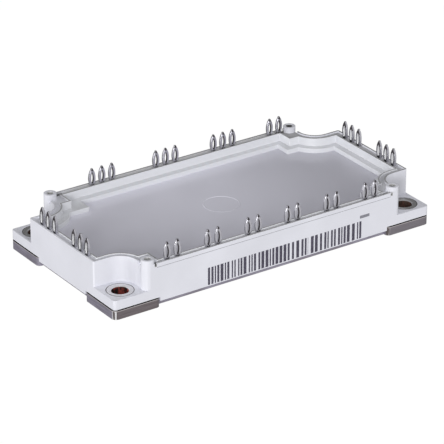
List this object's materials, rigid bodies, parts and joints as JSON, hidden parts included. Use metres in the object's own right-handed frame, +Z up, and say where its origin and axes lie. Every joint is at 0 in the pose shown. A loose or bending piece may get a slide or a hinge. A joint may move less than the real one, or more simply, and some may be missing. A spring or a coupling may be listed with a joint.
{
  "type": "igbt module",
  "caption": "Flat rectangular power module with a metal base plate, a white moulded frame, a sunk tray lid, press-fit pins round the rim and a rounded screw recess in each corner.",
  "frame": {"origin": "middle of the base plate's underside", "axes": "+X along the long sides, +Y from the front long side to the back one, +Z up towards the pins' tips"},
  "size_m": [0.122, 0.062, 0.0208],
  "materials": {
    "plate_metal": "nickel plated, satin",
    "frame_plastic": "moulded, fine matt",
    "lid_plastic": "moulded, smooth",
    "bush_metal": "pressed, bright",
    "pin_metal": "tin plated",
    "adhesive": "cured silicone",
    "solder": "dull",
    "copper": "etched, satin",
    "substrate_ceramic": "fired, matt",
    "silicon": "polished, metallised",
    "bond_metal": "drawn wire and ribbon"
  },
  "bodies": {
    "root": {"adhesive_bead": "adhesive", "base_plate": "plate_metal", "base_solder_left": "solder", "base_solder_middle": "solder", "base_solder_right": "solder", "ceramic_tile_left": "substrate_ceramic", "ceramic_tile_middle": "substrate_ceramic", "ceramic_tile_right": "substrate_ceramic", "chip_ribbons": "bond_metal", "copper_tracks_left": "copper", "copper_tracks_middle": "copper", "copper_tracks_right": "copper", "diode_chips": "silicon", "housing_frame": "frame_plastic", "igbt_chips": "silicon", "lid": "lid_plastic", "mounting_bushes": "bush_metal", "pin_back_01": "pin_metal", "pin_back_02": "pin_metal", "pin_back_03": "pin_metal", "pin_back_04": "pin_metal", "pin_back_05": "pin_metal", "pin_back_06": "pin_metal", "pin_back_07": "pin_metal", "pin_back_08": "pin_metal", "pin_back_09": "pin_metal", "pin_back_10": "pin_metal", "pin_back_11": "pin_metal", "pin_front_01": "pin_metal", "pin_front_02": "pin_metal", "pin_front_03": "pin_metal", "pin_front_04": "pin_metal", "pin_front_05": "pin_metal", "pin_front_06": "pin_metal", "pin_front_07": "pin_metal", "pin_front_08": "pin_metal", "pin_front_09": "pin_metal", "pin_front_10": "pin_metal", "pin_front_11": "pin_metal", "pin_front_12": "pin_metal", "pin_left_01": "pin_metal", "pin_left_02": "pin_metal", "pin_left_03": "pin_metal", "pin_left_04": "pin_metal", "pin_left_05": "pin_metal", "pin_left_06": "pin_metal", "pin_right_01": "pin_metal", "pin_right_02": "pin_metal", "pin_right_03": "pin_metal", "pin_right_04": "pin_metal", "pin_right_05": "pin_metal", "pin_right_06": "pin_metal", "pin_wires": "bond_metal", "rectifier_chips": "silicon", "thermistor": "substrate_ceramic", "under_copper_left": "copper", "under_copper_middle": "copper", "under_copper_right": "copper"}
  },
  "joints": []
}
